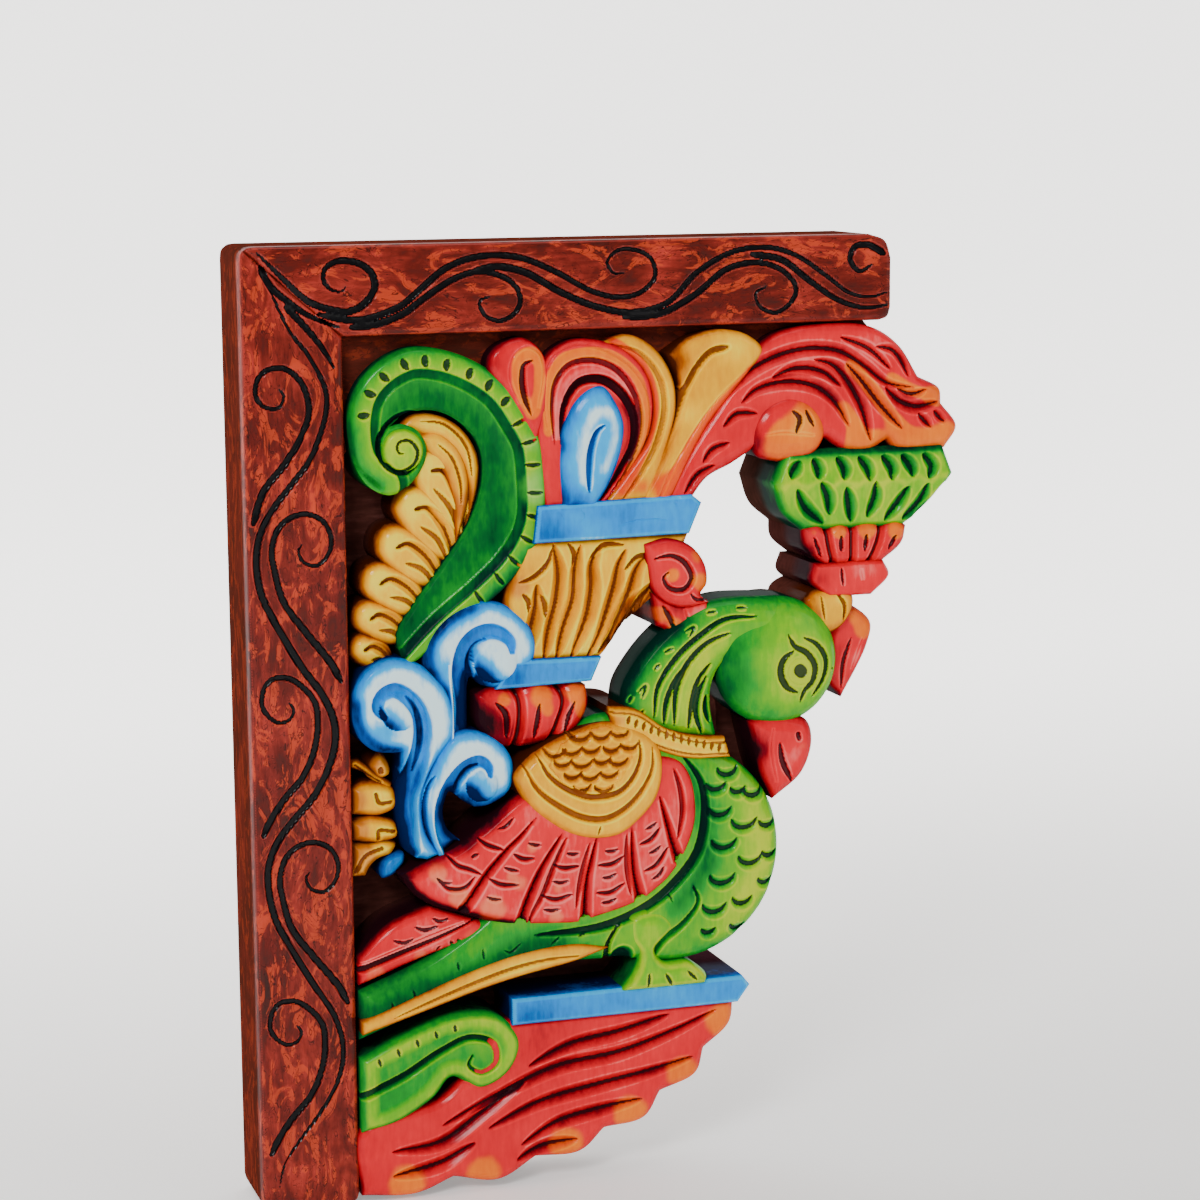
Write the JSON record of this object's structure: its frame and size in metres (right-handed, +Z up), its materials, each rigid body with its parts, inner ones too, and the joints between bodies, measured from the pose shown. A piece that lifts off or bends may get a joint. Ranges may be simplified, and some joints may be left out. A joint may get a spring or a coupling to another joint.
{
  "type": "carved wall bracket with a parrot",
  "caption": "Carved and painted wooden wall bracket: a stained L-shaped frame with an openwork panel of scrolls, leaves, a parrot and a pendant.",
  "frame": {"origin": "on the face of the post that lies against the wall, at mid height and mid depth of the frame", "axes": "+X out from the wall along the beam, +Z up along the post, -Y out of the carved front"},
  "size_m": [0.342, 0.056, 0.44],
  "materials": {
    "stained_frame": "mottled red-brown stain under clear varnish, with black lined grooves",
    "panel_wood": "dark brown stained wood on the sawn edges, the ground and the back",
    "green_paint": "gloss green paint shaded from lime to deep green, under clear varnish",
    "yellow_paint": "gloss yellow paint shaded to orange-brown, under clear varnish",
    "red_paint": "gloss red paint with orange and pink tips, under clear varnish",
    "blue_paint": "gloss blue paint shaded from near white to deep blue, under clear varnish"
  },
  "bodies": {
    "root": {"frame_post": "stained_frame", "frame_beam": "stained_frame", "carved_panel": "panel_wood"}
  },
  "joints": []
}
